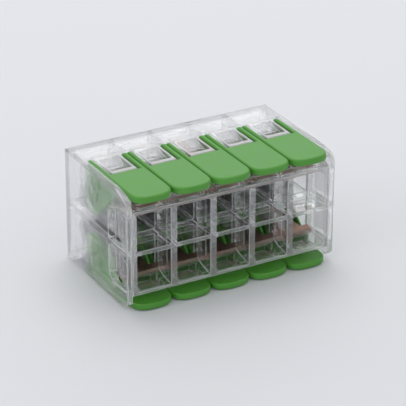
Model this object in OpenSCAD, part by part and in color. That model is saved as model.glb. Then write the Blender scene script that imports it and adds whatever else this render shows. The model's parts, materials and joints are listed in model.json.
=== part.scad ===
// Lever wire connector: two decks of wire entries in one clear housing, a lever over each entry.
// X runs across the entries, Y from the wire side to the back, Z up. Millimetres.
// Heights inside a deck are measured outwards from the middle plane between the two decks.

/* [Poles] */
// Wire entries side by side in each deck
pole_count = 5; // [2:1:5]
// Distance between neighbouring entries
pitch = 5.6; // [5.6:0.1:6.2]

/* [Body] */
// Side wall beyond the outermost entry
side_margin = 0.95; // [0.9:0.05:1.3]
// Depth of the housing from the wire side to the back
body_depth = 18.0; // [17.8:0.2:19.0]
// Height over both decks
body_height = 15.8; // [15.8:0.2:16.6]
// Thickness of the roof and of the back wall
wall = 0.9; // [0.6:0.1:1.0]
// Radius of the vertical back corners
plan_radius = 1.3; // [0.6:0.1:2.0]
// Radius of the back edges along X
back_radius = 1.4; // [0.6:0.1:2.0]
// Radius of the side edges along Y
edge_radius = 0.6; // [0.3:0.1:0.8]
// Length of the fall at the front of the side walls
nose_run = 4.8; // [3.0:0.2:6.0]
// Height of that fall
nose_drop = 1.6; // [1.0:0.1:2.2]

/* [Levers] */
// Length of the lip that overhangs the wire side
lip_overhang = 0.7; // [0.5:0.1:1.4]
// Width of a lever
lever_w = 5.5; // [5.3:0.05:5.5]
// Thickness of the finger pad
pad_thick = 0.9; // [0.8:0.1:1.0]
// Depth at which the window in the lever starts
window_front = 7.55; // [7.45:0.05:7.65]
// Clear width between the two arms
window_w = 4.2; // [4.0:0.05:4.2]
// Depth at which the arms end
arm_back = 12.6; // [12.4:0.1:12.6]
// Depth of the hinge axis
pivot_y = 10.1; // [10.05:0.05:10.15]
// Height of the hinge axis above the middle plane
pivot_h = 5.5; // [5.45:0.05:5.55]
// Radius of the hinge studs
stud_r = 0.7; // [0.5:0.05:0.75]
// Gap between a hinge stud and its hole
stud_gap = 0.05; // [0.03:0.01:0.1]

/* [Contacts] */
// Thickness of the copper busbar
copper_t = 0.7; // [0.5:0.1:0.8]
// Height of the busbar's inner face above the middle plane
copper_h = 4.3; // [4.25:0.05:4.35]
// Thickness of the spring strip
spring_t = 0.35; // [0.25:0.05:0.4]
// Width of the spring strip
spring_w = 3.3; // [3.0:0.1:3.4]

/* [Hidden] */
$fn = 48;
eps = 0.01;
deck_names = ["bottom", "top"];
poles = [1 : pole_count];

body_width = pole_count * pitch + 2 * side_margin;
half_height = body_height / 2;
half_width = body_width / 2;
front_y = -(body_depth - lip_overhang) / 2;

// Levers
pad_top = half_height - 0.1;
pad_under = pad_top - pad_thick;
lip_run = 2.2;
lip_squareness = 2.7;
cheek_t = 0.35;
cheek_in = window_w / 2 + 0.05;
cheek_front = 3.3;
cheek_y = 10.3;
cheek_h = 3.7;
cheek_r = 2.3;
cheek_tangent = 229;
stud_len = 0.24;
cam_y = 1.85;
cam_h = -0.6;
cam_r = 0.38;
cam_in = 1.35;
pad_clear_r = norm([pivot_y - window_front, pad_top - pivot_h]);

// Room in the housing
lever_gap = 0.1;
recess_floor = pad_under - lever_gap;
recess_w = pole_count * pitch + 0.1;
hub_r = recess_floor - pivot_h;
arm_sweep_r = pad_clear_r + lever_gap;
arm_sweep_low = pivot_h - (arm_back - pivot_y) - 0.15;
chamber_w = 5.1;
chamber_back = body_depth - wall;
roof_under = half_height - wall;
mid_half = 0.4;
bay_depth = 4.7;
bay_w = body_width - 1.5;

// Bridge over each clamp, with its test slot
bridge_w = 3.6;
bridge_wall = 0.35;
bridge_gap = 0.12;
bridge_low = copper_h + copper_t + 0.05;
bridge_top = half_height - 0.2;
bridge_back = 13.8;
slot_front = 8.5;
slot_back = 9.5;
slot_w = 2.8;
shaft_back = 10.3;
ramp_back = 12.4;
ramp_drop = 0.7;

// Front insert
insert_w = bay_w - 0.1;
insert_back = 3.1;
insert_face_h = 5.7;
insert_top_h = recess_floor - 0.1;
entry_w = 4.73;
entry_back_w = 4.3;
entry_in = 0.3;
entry_out = 5.3;
entry_bend = [1.9, 4.8];
entry_throat = 4.2;
pocket_w = 3.6;
pocket_y = [0.6, 2.2];
pocket_h = 5.5;
tab_w = 3.8;
tab_back = 4.65;

// Side latches
latch_front = 0.5;
latch_back = 5.1;
latch_in = 0.45;
latch_out = 5.1;
latch_chamfer = 0.85;
lug_proud = 0.6;
lug_in = 1.0;
lug_h = 3.4;

// Busbar
bar_front = 3.2;
bar_back = 4.6;
bar_w = pole_count * pitch - 0.2;
tongue_w = 3.2;
tongue_back = 10.8;
link_pole = ceil(pole_count / 2);
link_w = 2.0;
link_gap = 0.1;
link_front = 15.1;
link_back = 15.6;

// Spring
bend_y = 13.0;
spring_in = 0.45;
spring_front = 6.6;
bend_r = (copper_h - 0.05 - spring_in) / 2;
bend_h = spring_in + bend_r;
leg_front = 7.4;
tip_run = 1.0;
tip_drop = 0.7;

clear_tint = [0.84, 0.87, 0.89, 0.4];

function pole_x(pole) = (pole - (pole_count + 1) / 2) * pitch;

// Points on a quarter or other part of an ellipse, from angle a0 to a1
function bow(cy, ch, ry, rh, a0, a1, steps = 10) =
    [for (k = [0 : steps]) let (a = a0 + (a1 - a0) * k / steps) [cy + ry * cos(a), ch + rh * sin(a)]];

// A side outline, drawn in depth and height, made w wide along X
module along_x(w) {
    rotate([90, 0, 90])
        linear_extrude(w, center = true)
            children();
}

// A pin or hole along X
module pin_x(r, w) {
    rotate([0, 90, 0])
        cylinder(r = r, h = w, center = true);
}

// A block given by its ranges in depth and height, centred in X
module slab(w, y, h) {
    translate([-w / 2, y[0], h[0]])
        cube([w, y[1] - y[0], h[1] - h[0]]);
}

// Puts a deck's drawing above (side 1) or below (side 0) the middle plane
module place_deck(side) {
    translate([0, front_y, half_height])
        if (side == 1)
            children();
        else
            mirror([0, 0, 1])
                children();
}

module every_pole() {
    for (pole = poles)
        translate([pole_x(pole), 0, 0])
            children();
}

module both_sides() {
    children();
    mirror([1, 0, 0])
        children();
}

module both_decks() {
    children();
    mirror([0, 0, 1])
        children();
}

// ---- Housing ----

module side_outline() {
    upper = concat(
        bow(nose_run, half_height - nose_drop, nose_run, nose_drop, 180, 90),
        bow(body_depth - back_radius, half_height - back_radius, back_radius, back_radius, 90, 0)
    );
    lower = [for (k = [len(upper) - 1 : -1 : 0]) [upper[k][0], -upper[k][1]]];
    polygon(concat(upper, lower));
}

module plan_outline() {
    right = concat(
        [[half_width, 0]],
        bow(half_width - plan_radius, body_depth - plan_radius, plan_radius, plan_radius, 0, 90)
    );
    left = [for (k = [len(right) - 1 : -1 : 0]) [-right[k][0], right[k][1]]];
    polygon(concat(right, left));
}

module end_outline() {
    corners = [[1, 1, 0], [-1, 1, 90], [-1, -1, 180], [1, -1, 270]];
    polygon([
        for (c = corners)
            each bow(
                c[0] * (half_width - edge_radius), c[1] * (half_height - edge_radius),
                edge_radius, edge_radius, c[2], c[2] + 90, 6
            )
    ]);
}

// Everything that the arms of a lever sweep through, above the partitions and behind the hinge
module lever_room() {
    slab(recess_w, [-1, pivot_y], [recess_floor, half_height + 1]);
    difference() {
        intersection() {
            translate([0, pivot_y, pivot_h])
                pin_x(arm_sweep_r, recess_w);
            slab(recess_w + 1, [pivot_y - eps, body_depth], [arm_sweep_low, half_height + 1]);
        }
        translate([0, pivot_y, pivot_h])
            pin_x(hub_r, recess_w + 1);
    }
}

module latch_window() {
    translate([half_width, 0, 0])
        along_x(2 * side_margin + 0.3)
            polygon([
                [latch_front, latch_in],
                [latch_back, latch_in],
                [latch_back, latch_out - latch_chamfer],
                [latch_back - latch_chamfer, latch_out],
                [latch_front, latch_out]
            ]);
}

// Small notches along the back edge, one at each partition
module back_notches() {
    for (pole = [1 : pole_count - 1])
        translate([pole_x(pole) + pitch / 2, body_depth - 0.5, half_height])
            rotate([0, 45, 0])
                cube([0.45, 1.6, 0.45], center = true);
}

module deck_cuts() {
    slab(bay_w, [-1, bay_depth], [-eps, recess_floor + eps]);
    lever_room();
    every_pole()
        slab(chamber_w, [bay_depth - eps, chamber_back], [mid_half, roof_under]);
    translate([pole_x(link_pole), 0, 0])
        slab(link_w + 2 * link_gap, [link_front - link_gap, link_back + link_gap], [-eps, mid_half + eps]);
    translate([0, pivot_y, pivot_h])
        pin_x(stud_r + stud_gap, pole_count * pitch + 0.2);
    both_sides()
        latch_window();
    back_notches();
}

// The clear bridge between a lever's arms: its front follows the path of the lever's pad
module bridge() {
    difference() {
        intersection() {
            slab(bridge_w, [window_front - 1, bridge_back], [bridge_low, bridge_top]);
            union() {
                translate([0, pivot_y, pivot_h])
                    pin_x(pad_clear_r - bridge_gap, bridge_w + 1);
                slab(bridge_w + 1, [pivot_y, bridge_back], [bridge_low, bridge_top]);
            }
        }
        slab(bridge_w - 2 * bridge_wall, [shaft_back, bridge_back + 1], [bridge_low - 1, roof_under - 0.1]);
        slab(bridge_w + 1, [shaft_back, bridge_back + 1], [bridge_low - 1, bridge_low + 0.45]);
        along_x(slot_w)
            polygon([
                [slot_front, bridge_top + 1],
                [slot_front, bridge_low - 1],
                [slot_back, bridge_low - 1],
                [slot_back, bridge_top - ramp_drop],
                [ramp_back, bridge_top + eps],
                [ramp_back, bridge_top + 1]
            ]);
    }
}

module outer_shell() {
    color(clear_tint)
        translate([0, front_y, half_height]) {
            difference() {
                intersection() {
                    along_x(body_width)
                        side_outline();
                    translate([0, 0, -half_height])
                        linear_extrude(body_height)
                            plan_outline();
                    translate([0, body_depth, 0])
                        rotate([90, 0, 0])
                            linear_extrude(body_depth)
                                end_outline();
                }
                both_decks()
                    deck_cuts();
            }
            both_decks()
                every_pole()
                    bridge();
        }
}

// ---- Front insert with the wire entries ----

module entry() {
    intersection() {
        along_x(pitch)
            polygon([
                [-1, entry_in],
                [insert_back + 1, entry_in],
                [insert_back + 1, entry_throat],
                [insert_back, entry_throat],
                entry_bend,
                [0, entry_out],
                [-1, entry_out]
            ]);
        translate([0, 0, entry_in - 1])
            linear_extrude(insert_face_h + 1)
                polygon([
                    [-entry_w / 2, -1],
                    [-entry_w / 2, 0],
                    [-entry_back_w / 2, insert_back],
                    [-entry_back_w / 2, insert_back + 1],
                    [entry_back_w / 2, insert_back + 1],
                    [entry_back_w / 2, insert_back],
                    [entry_w / 2, 0],
                    [entry_w / 2, -1]
                ]);
    }
}

module latch_lug() {
    translate([insert_w / 2, 0, lug_in])
        linear_extrude(lug_h)
            polygon([
                [-0.2, latch_front + 0.15],
                [lug_proud, latch_front + 0.15],
                [lug_proud, latch_front + 1.0],
                [0, latch_back - 1.0],
                [-0.2, latch_back - 1.0]
            ]);
}

module insert_deck() {
    difference() {
        along_x(insert_w)
            polygon([
                [0, 0],
                [0, insert_face_h],
                [2.5, insert_top_h],
                [insert_back, insert_top_h],
                [insert_back, 0]
            ]);
        every_pole() {
            entry();
            slab(pocket_w, pocket_y, [pocket_h, half_height]);
        }
    }
    every_pole()
        slab(tab_w, [insert_back - 0.2, tab_back], [copper_h + copper_t + 0.1, insert_top_h]);
    both_sides()
        latch_lug();
}

module front_insert() {
    color(clear_tint)
        translate([0, front_y, half_height])
            both_decks()
                insert_deck();
}

// ---- Busbar ----

module busbar_deck() {
    slab(bar_w, [bar_front, bar_back], [copper_h, copper_h + copper_t]);
    every_pole()
        slab(tongue_w, [bar_back - eps, tongue_back], [copper_h, copper_h + copper_t]);
    translate([pole_x(link_pole), 0, 0]) {
        slab(link_w, [tongue_back - eps, link_back], [copper_h, copper_h + copper_t]);
        slab(link_w, [link_front, link_back], [-eps, copper_h + eps]);
    }
}

module busbar() {
    color("peru")
        translate([0, front_y, half_height])
            both_decks()
                busbar_deck();
}

// ---- Clamp springs ----

module spring_strip() {
    along_x(spring_w)
        polygon(concat(
            [[spring_front, spring_in]],
            bow(bend_y, bend_h, bend_r, bend_r, -90, 90, 16),
            [
                [leg_front, bend_h + bend_r],
                [leg_front - tip_run, bend_h + bend_r - tip_drop],
                [leg_front - tip_run + 0.2, bend_h + bend_r - tip_drop - 0.25],
                [leg_front + 0.12, bend_h + bend_r - spring_t]
            ],
            bow(bend_y, bend_h, bend_r - spring_t, bend_r - spring_t, 90, -90, 16),
            [[spring_front, spring_in + spring_t]]
        ));
}

module clamp_spring(side, pole) {
    color("slategray")
        place_deck(side)
            translate([pole_x(pole), 0, 0])
                spring_strip();
}

// ---- Levers ----

// Finger pad from above, with a rounded lip at the wire side
module pad_outline() {
    lip = [
        for (k = [0 : 24])
            let (a = 180 + 180 * k / 24, c = cos(a), s = sin(a))
            [
                lever_w / 2 * sign(c) * pow(abs(c), 2 / lip_squareness),
                lip_run - lip_overhang - lip_run * pow(abs(s), 2 / lip_squareness)
            ]
    ];
    polygon(concat(lip, [[lever_w / 2, arm_back], [-lever_w / 2, arm_back]]));
}

module cheek_outline() {
    polygon(concat(
        [[arm_back, pad_under + 0.2], [cheek_front, pad_under + 0.2]],
        bow(cheek_y, cheek_h, cheek_r, cheek_r, cheek_tangent, 360, 14)
    ));
}

module lever_shape() {
    difference() {
        translate([0, 0, pad_under])
            linear_extrude(pad_thick)
                pad_outline();
        translate([0, pivot_y, pivot_h])
            pin_x(pad_clear_r, window_w);
    }
    both_sides() {
        translate([cheek_in + cheek_t / 2, 0, 0])
            along_x(cheek_t)
                cheek_outline();
        translate([cheek_in + cheek_t + (stud_len - 0.1) / 2, pivot_y, pivot_h])
            pin_x(stud_r, stud_len + 0.1);
        translate([(cam_in + cheek_in + 0.1) / 2, pivot_y + cam_y, pivot_h + cam_h])
            pin_x(cam_r, cheek_in + 0.1 - cam_in);
    }
}

module lever(side, pole) {
    color([0.36, 0.62, 0.3])
        place_deck(side)
            translate([pole_x(pole), 0, 0])
                lever_shape();
}

outer_shell();
front_insert();
busbar();
for (side = [0, 1], pole = poles) {
    clamp_spring(side, pole);
    lever(side, pole);
}
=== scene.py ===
"""The looks of the lever wire connector: clear and green mouldings, copper and spring steel."""

import json
import math

import bmesh
import bpy
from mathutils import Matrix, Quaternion, Vector


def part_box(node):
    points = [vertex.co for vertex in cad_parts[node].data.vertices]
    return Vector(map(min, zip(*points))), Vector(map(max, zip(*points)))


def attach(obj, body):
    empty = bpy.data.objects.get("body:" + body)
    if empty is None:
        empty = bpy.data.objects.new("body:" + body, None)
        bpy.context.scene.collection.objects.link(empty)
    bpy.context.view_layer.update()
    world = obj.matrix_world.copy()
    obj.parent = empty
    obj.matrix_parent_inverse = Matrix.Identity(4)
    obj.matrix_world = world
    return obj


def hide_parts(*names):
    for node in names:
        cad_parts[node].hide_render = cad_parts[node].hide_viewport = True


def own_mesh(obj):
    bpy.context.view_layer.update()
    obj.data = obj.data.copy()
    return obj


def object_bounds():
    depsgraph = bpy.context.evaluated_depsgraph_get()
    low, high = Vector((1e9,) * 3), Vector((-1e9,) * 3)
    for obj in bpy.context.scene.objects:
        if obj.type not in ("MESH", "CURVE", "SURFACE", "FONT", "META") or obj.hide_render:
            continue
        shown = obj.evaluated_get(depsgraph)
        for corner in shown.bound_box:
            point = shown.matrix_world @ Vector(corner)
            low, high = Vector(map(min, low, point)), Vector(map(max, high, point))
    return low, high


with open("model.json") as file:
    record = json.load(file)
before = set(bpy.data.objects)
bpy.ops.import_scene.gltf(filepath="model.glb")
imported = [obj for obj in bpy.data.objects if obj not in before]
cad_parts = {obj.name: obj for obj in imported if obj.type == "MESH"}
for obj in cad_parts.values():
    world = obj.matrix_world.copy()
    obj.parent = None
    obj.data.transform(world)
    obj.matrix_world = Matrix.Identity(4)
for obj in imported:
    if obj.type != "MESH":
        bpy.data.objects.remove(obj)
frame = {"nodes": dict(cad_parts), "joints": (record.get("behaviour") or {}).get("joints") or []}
cad_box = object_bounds()
scene = bpy.context.scene

MM = 0.001
DECKS = ("bottom", "top")
POLES = range(1, 6)

# ---- Camera, at the angle of the reference ----

VIEW_AZIMUTH = math.radians(-29.4)
VIEW_ELEVATION = math.radians(25.66)
VIEW_ROLL = math.radians(0.15)
VIEW_DISTANCE = 0.2743
VIEW_LENS = 189.3
AIM = Vector((0.00041, -0.0002, 0.00812))


def place_camera():
    data = bpy.data.cameras.new("camera")
    data.lens = VIEW_LENS
    data.clip_start = 0.01
    data.clip_end = 10
    camera = bpy.data.objects.new("camera", data)
    scene.collection.objects.link(camera)
    away = Vector((
        math.sin(VIEW_AZIMUTH) * math.cos(VIEW_ELEVATION),
        -math.cos(VIEW_AZIMUTH) * math.cos(VIEW_ELEVATION),
        math.sin(VIEW_ELEVATION),
    ))
    camera.location = AIM + VIEW_DISTANCE * away
    camera.rotation_mode = "QUATERNION"
    roll = Quaternion((0, 0, 1), VIEW_ROLL)
    camera.rotation_quaternion = (-away).to_track_quat("-Z", "Y") @ roll
    scene.camera = camera


# ---- Materials ----

NOISE_LOW = 0.3
NOISE_HIGH = 0.7
CLEAR_TINT = (0.965, 0.972, 0.978)
CLEAR_SHADE = [0.985 * value for value in CLEAR_TINT]
CLEAR_IOR = 1.42
SCUFF_ROUGHNESS = 0.03


def new_material(name):
    """A material with an empty Principled shader: (material, nodes, links, shader)."""
    material = bpy.data.materials.new(name)
    material.use_nodes = True
    nodes = material.node_tree.nodes
    links = material.node_tree.links
    return material, nodes, links, nodes["Principled BSDF"]


def object_noise(nodes, links, scale, detail, stretch=(1, 1, 1)):
    """Noise that sits still on the object, in cycles per metre."""
    place = nodes.new("ShaderNodeTexCoord")
    mapping = nodes.new("ShaderNodeMapping")
    mapping.inputs["Scale"].default_value = stretch
    noise = nodes.new("ShaderNodeTexNoise")
    noise.inputs["Scale"].default_value = scale
    noise.inputs["Detail"].default_value = detail
    links.new(place.outputs["Object"], mapping.inputs["Vector"])
    links.new(mapping.outputs["Vector"], noise.inputs["Vector"])
    return noise.outputs["Fac"]


def ranged(nodes, links, source, low, high):
    """The usual range of a noise, spread over low to high."""
    span = nodes.new("ShaderNodeMapRange")
    span.inputs["From Min"].default_value = NOISE_LOW
    span.inputs["From Max"].default_value = NOISE_HIGH
    span.inputs["To Min"].default_value = low
    span.inputs["To Max"].default_value = high
    links.new(source, span.inputs["Value"])
    return span.outputs["Result"]


def two_colours(nodes, links, source, first, second):
    """The first colour where the noise is low, running into the second where it is high."""
    ramp = nodes.new("ShaderNodeValToRGB")
    ramp.color_ramp.elements[0].position = NOISE_LOW
    ramp.color_ramp.elements[0].color = (*first, 1)
    ramp.color_ramp.elements[1].position = NOISE_HIGH
    ramp.color_ramp.elements[1].color = (*second, 1)
    links.new(source, ramp.inputs["Fac"])
    return ramp.outputs["Color"]


def bump(nodes, links, source, strength, height):
    """A normal that follows the source as if it stood up by the height."""
    node = nodes.new("ShaderNodeBump")
    node.inputs["Strength"].default_value = strength
    node.inputs["Distance"].default_value = height
    links.new(source, node.inputs["Height"])
    return node.outputs["Normal"]


def clear_plastic(name, haze, body, rough, wave):
    """Clear polycarbonate with faint flow waves and scuffs. The haze is the share of it that looks milky.
    The body is the share of light that it bends or scatters, and the rest goes straight through."""
    material, nodes, links, shader = new_material(name)
    tone = object_noise(nodes, links, scale=420, detail=2)
    links.new(two_colours(nodes, links, tone, CLEAR_TINT, CLEAR_SHADE), shader.inputs["Base Color"])
    shader.inputs["Transmission Weight"].default_value = 1 - haze
    shader.inputs["IOR"].default_value = CLEAR_IOR
    shader.inputs["Alpha"].default_value = body
    scuffs = object_noise(nodes, links, scale=900, detail=3)
    links.new(ranged(nodes, links, scuffs, rough, rough + SCUFF_ROUGHNESS), shader.inputs["Roughness"])
    waves = object_noise(nodes, links, scale=260, detail=1)
    links.new(bump(nodes, links, waves, wave, 0.1 * MM), shader.inputs["Normal"])
    return material


def green_plastic():
    """Satin moulded nylon with a fine spark-eroded grain."""
    material, nodes, links, shader = new_material("green_plastic")
    mottle = object_noise(nodes, links, scale=700, detail=5)
    colour = two_colours(nodes, links, mottle, (0.060, 0.272, 0.021), (0.072, 0.300, 0.028))
    links.new(colour, shader.inputs["Base Color"])
    shader.inputs["Specular IOR Level"].default_value = 0.55
    grain = object_noise(nodes, links, scale=5200, detail=2)
    links.new(ranged(nodes, links, mottle, 0.40, 0.52), shader.inputs["Roughness"])
    links.new(bump(nodes, links, grain, 0.25, 0.02 * MM), shader.inputs["Normal"])
    return material


def copper():
    """Dull rolled copper: drawn along X, a little stained."""
    material, nodes, links, shader = new_material("copper")
    stain = object_noise(nodes, links, scale=500, detail=4)
    colour = two_colours(nodes, links, stain, (0.22, 0.125, 0.092), (0.31, 0.19, 0.145))
    links.new(colour, shader.inputs["Base Color"])
    shader.inputs["Metallic"].default_value = 1.0
    rolling = object_noise(nodes, links, scale=1500, detail=3, stretch=(0.06, 1, 1))
    links.new(ranged(nodes, links, rolling, 0.28, 0.5), shader.inputs["Roughness"])
    links.new(bump(nodes, links, rolling, 0.2, 0.02 * MM), shader.inputs["Normal"])
    return material


def spring_steel():
    """Dark rolled spring strip, brushed along its length."""
    material, nodes, links, shader = new_material("spring_steel")
    tone = object_noise(nodes, links, scale=600, detail=3)
    colour = two_colours(nodes, links, tone, (0.11, 0.115, 0.12), (0.18, 0.185, 0.19))
    links.new(colour, shader.inputs["Base Color"])
    shader.inputs["Metallic"].default_value = 1.0
    rolling = object_noise(nodes, links, scale=2500, detail=3, stretch=(1, 0.05, 0.3))
    links.new(ranged(nodes, links, rolling, 0.22, 0.4), shader.inputs["Roughness"])
    links.new(bump(nodes, links, rolling, 0.2, 0.01 * MM), shader.inputs["Normal"])
    return material


# ---- Pieces made from the CAD nodes ----

# Points closer than WELD become one, and a point within CUT_REACH of a cut is on it. Faces that bend less
# than FLAT are joined, and edges that bend more than SHARP are rounded.
WELD = 0.012 * MM
CUT_REACH = 0.001 * MM
FLAT = math.radians(0.6)
SHARP = math.radians(32)
# Slots of the milkier clear copies: a painted highlight on the rounded edges, painted light on the lands
EDGE_HIGHLIGHT_MATERIAL = 1
LAND_PAINTED_LIGHT_MATERIAL = 2

# The middle of all the hinges lies on the plane between the two decks
HINGES = [Vector(joint["pos_m"]) for joint in frame["joints"]]
MIDDLE = sum(HINGES, Vector()) / len(HINGES)
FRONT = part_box("front_insert")[0].y

# Distances from the hinge axis: to latches and test slots towards the wires, to cam pegs towards the back
LATCH_DEPTH = 7.55 * MM
SLOT_DEPTH = 1.1 * MM
CAM_DEPTH = 1.85 * MM

# Heights above the middle plane
ENTRY_HEIGHT = 2.85 * MM
HINGE_HEIGHT = (max(hinge.z for hinge in HINGES) - min(hinge.z for hinge in HINGES)) / 2
CAM_HEIGHT = HINGE_HEIGHT - 0.6 * MM
BRIDGE_HEIGHT = cad_box[1][2] / 2 - 0.2 * MM

# The sides of a lever's window and of the insert, and the two ends of a bridge
WINDOW_HALF = 2.1 * MM
INSERT_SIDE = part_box("front_insert")[1].x - 0.65 * MM
BRIDGE_START = FRONT + 7 * MM
BRIDGE_END = FRONT + 14 * MM

# Places along X, Y and Z of planes that pass through every hole and round stub
SEAMS = (
    sorted({hinge.x for hinge in HINGES}),
    (MIDDLE.y - LATCH_DEPTH, MIDDLE.y - SLOT_DEPTH, MIDDLE.y, MIDDLE.y + CAM_DEPTH),
    sorted(
        MIDDLE.z + side * height
        for side in (-1, 1)
        for height in (ENTRY_HEIGHT, CAM_HEIGHT, HINGE_HEIGHT)
    ),
)


def seam_cut(work, axis, place):
    """Cuts every face at a plane, so that no flat face has a hole in it."""
    normal = Vector((0, 0, 0))
    normal[axis] = 1
    cut = bmesh.ops.bisect_plane(
        work,
        geom=[*work.verts, *work.edges, *work.faces],
        dist=CUT_REACH,
        plane_co=place * normal,
        plane_no=normal,
    )
    for part in cut["geom_cut"]:
        if isinstance(part, bmesh.types.BMEdge):
            part.seam = True


def beside_window(vertex):
    """Tells if a point is on the side of a lever's window, where the ledge below the arm is very narrow."""
    return any(abs(abs(vertex.co.x - hinge.x) - WINDOW_HALF) < WELD for hinge in HINGES)


def weigh_edges(work, inner_share, hollow_share):
    """Marks how far each edge is rounded: in full on the face furthest from the middle plane, by the inner
    share elsewhere, and by the hollow share where two faces meet in a hollow."""
    weight = work.edges.layers.float.new("bevel_weight_edge")
    far = max(abs(vertex.co.z - MIDDLE.z) for vertex in work.verts) - WELD
    for edge in work.edges:
        if len(edge.link_faces) == 2 and edge.calc_face_angle() > SHARP:
            if all(abs(vertex.co.z - MIDDLE.z) > far for vertex in edge.verts):
                edge[weight] = 1.0
            elif not all(beside_window(vertex) for vertex in edge.verts):
                edge[weight] = inner_share if edge.is_convex else hollow_share


def is_land(node, place):
    """Tells if a face centre is on the front or a side of the insert, or on top of a bridge: the faces that
    get painted light.
    """
    if node == "front_insert":
        return place.y < FRONT + WELD or abs(place.x) > INSERT_SIDE
    return abs(abs(place.z - MIDDLE.z) - BRIDGE_HEIGHT) < WELD and BRIDGE_START < place.y < BRIDGE_END


def rounded_copy(node, materials, radius, inner_share, hollow_share, segments):
    """A copy of a CAD node with its sharp edges rounded off. The second material, if any, is on the rounded
    edges as a painted highlight, and the third on the lands as painted light."""
    mesh = frame["nodes"][node].data.copy()
    mesh.name = node + "_piece"
    mesh.materials.clear()
    for material in materials:
        mesh.materials.append(material)
    if "custom_normal" in mesh.attributes:
        mesh.attributes.remove(mesh.attributes["custom_normal"])
    work = bmesh.new()
    work.from_mesh(mesh)
    bmesh.ops.remove_doubles(work, verts=work.verts, dist=WELD)
    bmesh.ops.dissolve_degenerate(work, edges=work.edges, dist=WELD)
    for axis, places in enumerate(SEAMS):
        for place in places:
            seam_cut(work, axis, place)
    bmesh.ops.dissolve_limit(
        work, angle_limit=FLAT, verts=work.verts, edges=work.edges, delimit={"SEAM"}
    )
    weigh_edges(work, inner_share, hollow_share)
    for face in work.faces:
        face.smooth = True
        if len(materials) > LAND_PAINTED_LIGHT_MATERIAL and is_land(node, face.calc_center_median()):
            face.material_index = LAND_PAINTED_LIGHT_MATERIAL
    work.to_mesh(mesh)
    work.free()
    piece = bpy.data.objects.new(node + "_piece", mesh)
    scene.collection.objects.link(piece)
    bevel = piece.modifiers.new("round", "BEVEL")
    bevel.width = radius
    bevel.segments = segments
    bevel.limit_method = "WEIGHT"
    bevel.use_clamp_overlap = False
    bevel.miter_outer = "MITER_ARC"
    bevel.material = EDGE_HIGHLIGHT_MATERIAL if len(materials) > EDGE_HIGHLIGHT_MATERIAL else 0
    level = piece.modifiers.new("level", "WEIGHTED_NORMAL")
    level.keep_sharp = True
    level.weight = 100
    graph = bpy.context.evaluated_depsgraph_get()
    final = bpy.data.meshes.new_from_object(piece.evaluated_get(graph))
    piece.modifiers.clear()
    piece.data = final
    final.name = node + "_piece"
    return piece


def dress(node, body, materials, radius, inner_share=1.0, hollow_share=1.0, segments=2):
    """Shows a CAD node as a rounded piece that rides on a body."""
    piece = rounded_copy(node, materials, radius, inner_share, hollow_share, segments)
    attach(piece, body)
    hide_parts(node)
    return piece


SHELL_ROUND = 0.12 * MM
INSERT_ROUND = 0.10 * MM
COPPER_ROUND = 0.08 * MM
LEVER_ROUND = 0.3 * MM
SPRING_ROUND = 0.05 * MM


def build_clear_pieces():
    # The edge and land copies are milkier: painted highlights on the shell's rounded edges and on the
    # bridge tops
    housing = [
        clear_plastic("clear_housing", haze=0.02, body=0.55, rough=0.0, wave=0.08),
        clear_plastic("clear_housing_edge_painted_highlight", haze=0.35, body=0.8, rough=0.12, wave=0.08),
        clear_plastic("clear_bridge_land_painted_highlight", haze=0.5, body=0.8, rough=0.1, wave=0.02),
    ]
    # The edge copy is milkier as a painted highlight on the rounded edges, and the land copy as painted
    # light that greys the insert's front and sides
    insert = [
        clear_plastic("clear_insert", haze=0.02, body=0.4, rough=0.0, wave=0.02),
        clear_plastic("clear_insert_edge_painted_highlight", haze=0.35, body=0.85, rough=0.08, wave=0.02),
        clear_plastic("clear_insert_land_painted_light", haze=0.22, body=0.65, rough=0.04, wave=0.02),
    ]
    dress("outer_shell", "housing", housing, SHELL_ROUND)
    dress("front_insert", "housing", insert, INSERT_ROUND)


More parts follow.
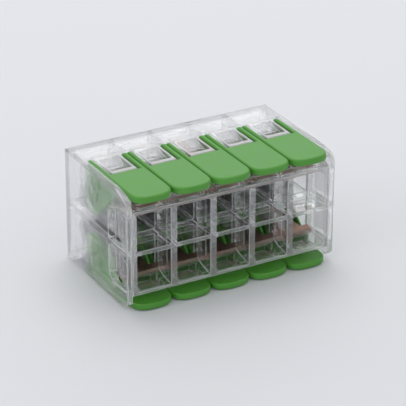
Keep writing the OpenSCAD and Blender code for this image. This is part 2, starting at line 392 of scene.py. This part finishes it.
def build_pole(deck, pole, green, steel):
    """A lever, and the clamp spring that it squashes as it opens."""
    lever = f"lever_{deck}_{pole}"
    dress(
        lever, lever, [green], LEVER_ROUND,
        inner_share=0.5, hollow_share=0.0, segments=4,
    )
    node = f"clamp_spring_{deck}_{pole}"
    spring = dress(node, "housing", [steel], SPRING_ROUND)
    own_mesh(spring)


def build_pieces():
    build_clear_pieces()
    dress("busbar", "housing", [copper()], COPPER_ROUND)
    green = green_plastic()
    steel = spring_steel()
    for deck in DECKS:
        for pole in POLES:
            build_pole(deck, pole, green, steel)


# ---- Studio ----


def build_floor():
    mesh = bpy.data.meshes.new("floor")
    half = 3.0
    corners = [(-half, -half, 0), (half, -half, 0), (half, half, 0), (-half, half, 0)]
    mesh.from_pydata(corners, [], [(0, 1, 2, 3)])
    floor = bpy.data.objects.new("floor", mesh)
    scene.collection.objects.link(floor)
    material, *_, shader = new_material("floor")
    shader.inputs["Base Color"].default_value = (0.72, 0.725, 0.75, 1)
    shader.inputs["Roughness"].default_value = 0.75
    mesh.materials.append(material)


def add_light(name, size, power, location):
    data = bpy.data.lights.new(name, "AREA")
    data.shape = "RECTANGLE"
    data.size, data.size_y = size
    data.energy = power
    light = bpy.data.objects.new(name, data)
    scene.collection.objects.link(light)
    light.location = location
    light.rotation_mode = "QUATERNION"
    light.rotation_quaternion = (AIM - Vector(location)).to_track_quat("-Z", "Y")


def light_scene():
    world = bpy.data.worlds.new("world")
    scene.world = world
    world.use_nodes = True
    sky = world.node_tree.nodes["Background"]
    sky.inputs["Color"].default_value = (0.97, 0.98, 1.0, 1)
    sky.inputs["Strength"].default_value = 0.75
    add_light("overhead", size=(0.5, 0.4), power=1.15, location=(0.10, 0.22, 0.60))
    add_light("back_card", size=(0.5, 0.25), power=0.38, location=(0.30, 0.52, 0.30))
    add_light("left_card", size=(0.25, 0.35), power=0.3, location=(-0.5, -0.05, 0.25))
    scene.view_settings.view_transform = "Standard"
    scene.cycles.max_bounces = 32
    scene.cycles.transmission_bounces = 28
    scene.cycles.transparent_max_bounces = 16
    scene.cycles.glossy_bounces = 6
    scene.cycles.diffuse_bounces = 4


place_camera()
build_floor()
light_scene()
build_pieces()
